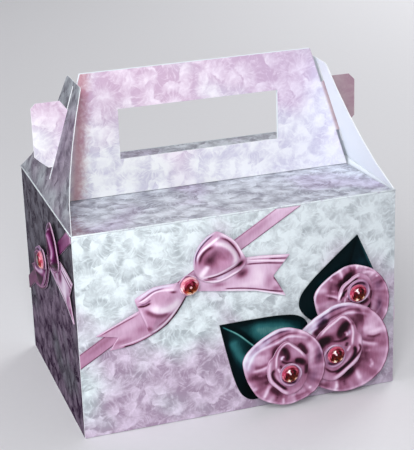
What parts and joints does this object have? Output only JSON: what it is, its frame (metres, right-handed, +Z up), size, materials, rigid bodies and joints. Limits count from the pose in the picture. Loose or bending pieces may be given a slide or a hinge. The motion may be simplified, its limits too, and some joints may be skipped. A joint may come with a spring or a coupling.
{
  "type": "gable gift box",
  "caption": "Printed card gable box with a folding slotted handle, layered card roses and leaves, ribbon bows and faceted gems.",
  "frame": {"origin": "middle of the base, on the surface the box stands on", "axes": "+Z up, +X to the right along the box's length seen from the front, -Y out of the front with the roses"},
  "size_m": [0.1932, 0.1401, 0.1804],
  "materials": {
    "printed_card": "satin coated print",
    "satin_print": "satin coated print",
    "leaf_print": "satin coated print",
    "foam": "matt foam",
    "gem": "polished, mirror backed"
  },
  "bodies": {
    "box": {"back_floor_flap": "printed_card", "back_wall": "printed_card", "front_bow_gem": "gem", "front_bow_knot": "satin_print", "front_bow_left_loop": "satin_print", "front_bow_left_tail": "satin_print", "front_bow_right_loop": "satin_print", "front_bow_right_tail": "satin_print", "front_floor_flap": "printed_card", "front_ribbon": "satin_print", "front_wall": "printed_card", "left_back_glue_tab": "printed_card", "left_bow_gem": "gem", "left_bow_knot": "satin_print", "left_bow_left_loop": "satin_print", "left_bow_left_tail": "satin_print", "left_bow_right_loop": "satin_print", "left_bow_right_tail": "satin_print", "left_floor_flap": "printed_card", "left_front_glue_tab": "printed_card", "left_leaf": "leaf_print", "left_ribbon": "satin_print", "left_wall": "printed_card", "right_back_glue_tab": "printed_card", "right_bow_gem": "gem", "right_bow_knot": "satin_print", "right_bow_left_loop": "satin_print", "right_bow_left_tail": "satin_print", "right_bow_right_loop": "satin_print", "right_bow_right_tail": "satin_print", "right_floor_flap": "printed_card", "right_front_glue_tab": "printed_card", "right_ribbon": "satin_print", "right_wall": "printed_card", "rose_a_gem": "gem", "rose_a_heart": "satin_print", "rose_a_pad": "foam", "rose_a_petals": "satin_print", "rose_a_ruffle": "satin_print", "rose_b_gem": "gem", "rose_b_heart": "satin_print", "rose_b_pad": "foam", "rose_b_petals": "satin_print", "rose_b_ruffle": "satin_print", "rose_c_gem": "gem", "rose_c_heart": "satin_print", "rose_c_pad": "foam", "rose_c_petals": "satin_print", "rose_c_ruffle": "satin_print", "top_leaf": "leaf_print"},
    "front_roof": {"front_roof": "printed_card"},
    "front_handle": {"front_handle": "printed_card"},
    "back_roof": {"back_roof": "printed_card"},
    "back_handle": {"back_handle": "printed_card"},
    "left_gusset": {"left_gusset": "printed_card"},
    "right_gusset": {"right_gusset": "printed_card"}
  },
  "joints": [
    {"name": "front_roof_fold", "type": "hinge", "parent": "box", "child": "front_roof", "pos_m": [0, -0.06225, 0.11375], "axis": [1, 0, 0], "range_deg": [0, 75]},
    {"name": "back_roof_fold", "type": "hinge", "parent": "box", "child": "back_roof", "pos_m": [0, 0.06225, 0.11375], "axis": [-1, 0, 0], "range_deg": [0, 75]},
    {"name": "front_handle_fold", "type": "hinge", "parent": "front_roof", "child": "front_handle", "pos_m": [0, -0.00085, 0.10975], "axis": [-1, 0, 0], "range_deg": [0, 75]},
    {"name": "back_handle_fold", "type": "hinge", "parent": "back_roof", "child": "back_handle", "pos_m": [0, 0.00085, 0.10975], "axis": [1, 0, 0], "range_deg": [0, 75]},
    {"name": "left_gusset_fold", "type": "hinge", "parent": "box", "child": "left_gusset", "pos_m": [-0.08915, 0, 0.114], "axis": [0, -1, 0], "range_deg": [0, 168.75]},
    {"name": "right_gusset_fold", "type": "hinge", "parent": "box", "child": "right_gusset", "pos_m": [0.08915, 0, 0.114], "axis": [0, 1, 0], "range_deg": [0, 168.75]}
  ],
  "couplings": [
    {"joint": "back_roof_fold", "follows": "front_roof_fold", "ratio": 1},
    {"joint": "front_handle_fold", "follows": "front_roof_fold", "ratio": 1},
    {"joint": "back_handle_fold", "follows": "front_roof_fold", "ratio": 1},
    {"joint": "left_gusset_fold", "follows": "front_roof_fold", "ratio": 2.25},
    {"joint": "right_gusset_fold", "follows": "front_roof_fold", "ratio": 2.25}
  ]
}
